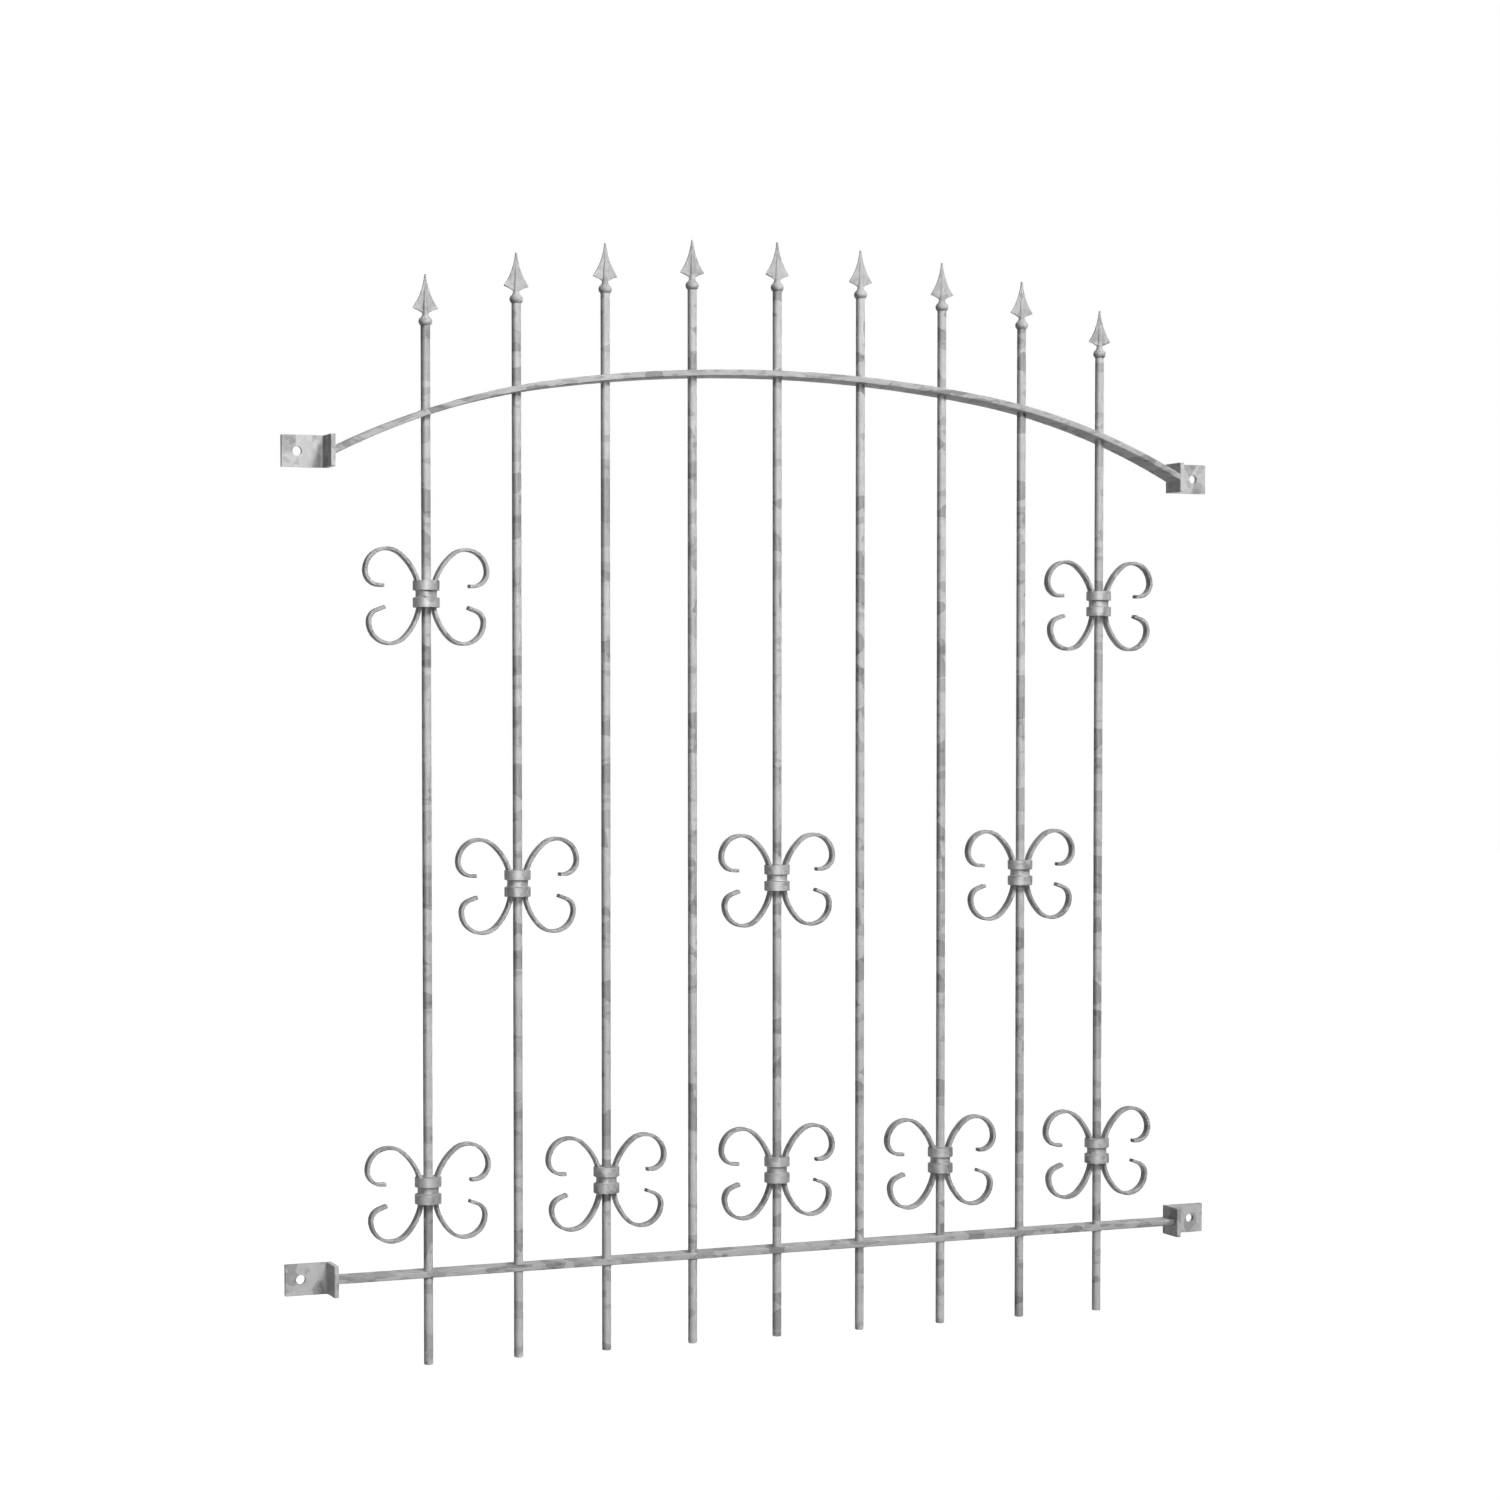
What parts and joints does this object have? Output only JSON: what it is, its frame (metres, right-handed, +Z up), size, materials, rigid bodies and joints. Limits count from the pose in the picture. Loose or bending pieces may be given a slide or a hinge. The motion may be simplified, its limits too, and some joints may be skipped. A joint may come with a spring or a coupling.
{
  "type": "window grille",
  "caption": "Arched window grille of galvanised steel: spear-headed round bars through two flat rails, with C-scroll pairs held by collars, bolted to a wall by drilled angle brackets",
  "frame": {"origin": "in the wall plane, at the middle of the four bolt holes", "axes": "X across the window, Z up, and the front faces -Y, so +Y points into the wall"},
  "size_m": [1.32, 0.0429, 1.4415],
  "materials": {
    "galvanised_bar": "hot-dip galvanised round bar, grey zinc with bands of darker spangle",
    "galvanised_flat": "hot-dip galvanised flat bar, grey zinc with patches of darker spangle",
    "galvanised_angle": "hot-dip galvanised angle, blotchy grey zinc",
    "galvanised_scroll": "hot-dip galvanised bent flat bar, satin grey zinc",
    "galvanised_collar": "hot-dip galvanised turned collar, satin grey zinc",
    "galvanised_spear": "hot-dip galvanised casting, slightly grainy grey zinc"
  },
  "bodies": {
    "root": {"arch_rail": "galvanised_flat", "bottom_rail": "galvanised_flat", "bar_1": "galvanised_bar", "spear_1": "galvanised_spear", "bar_2": "galvanised_bar", "spear_2": "galvanised_spear", "bar_3": "galvanised_bar", "spear_3": "galvanised_spear", "bar_4": "galvanised_bar", "spear_4": "galvanised_spear", "bar_5": "galvanised_bar", "spear_5": "galvanised_spear", "bar_6": "galvanised_bar", "spear_6": "galvanised_spear", "bar_7": "galvanised_bar", "spear_7": "galvanised_spear", "bar_8": "galvanised_bar", "spear_8": "galvanised_spear", "bar_9": "galvanised_bar", "spear_9": "galvanised_spear", "bracket_top_left": "galvanised_angle", "bracket_top_right": "galvanised_angle", "bracket_bottom_left": "galvanised_angle", "bracket_bottom_right": "galvanised_angle", "collar_upper_1": "galvanised_collar", "scroll_upper_1_left": "galvanised_scroll", "scroll_upper_1_right": "galvanised_scroll", "collar_upper_9": "galvanised_collar", "scroll_upper_9_left": "galvanised_scroll", "scroll_upper_9_right": "galvanised_scroll", "collar_middle_2": "galvanised_collar", "scroll_middle_2_left": "galvanised_scroll", "scroll_middle_2_right": "galvanised_scroll", "collar_middle_5": "galvanised_collar", "scroll_middle_5_left": "galvanised_scroll", "scroll_middle_5_right": "galvanised_scroll", "collar_middle_8": "galvanised_collar", "scroll_middle_8_left": "galvanised_scroll", "scroll_middle_8_right": "galvanised_scroll", "collar_lower_1": "galvanised_collar", "scroll_lower_1_left": "galvanised_scroll", "scroll_lower_1_right": "galvanised_scroll", "collar_lower_3": "galvanised_collar", "scroll_lower_3_left": "galvanised_scroll", "scroll_lower_3_right": "galvanised_scroll", "collar_lower_5": "galvanised_collar", "scroll_lower_5_left": "galvanised_scroll", "scroll_lower_5_right": "galvanised_scroll", "collar_lower_7": "galvanised_collar", "scroll_lower_7_left": "galvanised_scroll", "scroll_lower_7_right": "galvanised_scroll", "collar_lower_9": "galvanised_collar", "scroll_lower_9_left": "galvanised_scroll", "scroll_lower_9_right": "galvanised_scroll"}
  },
  "joints": []
}
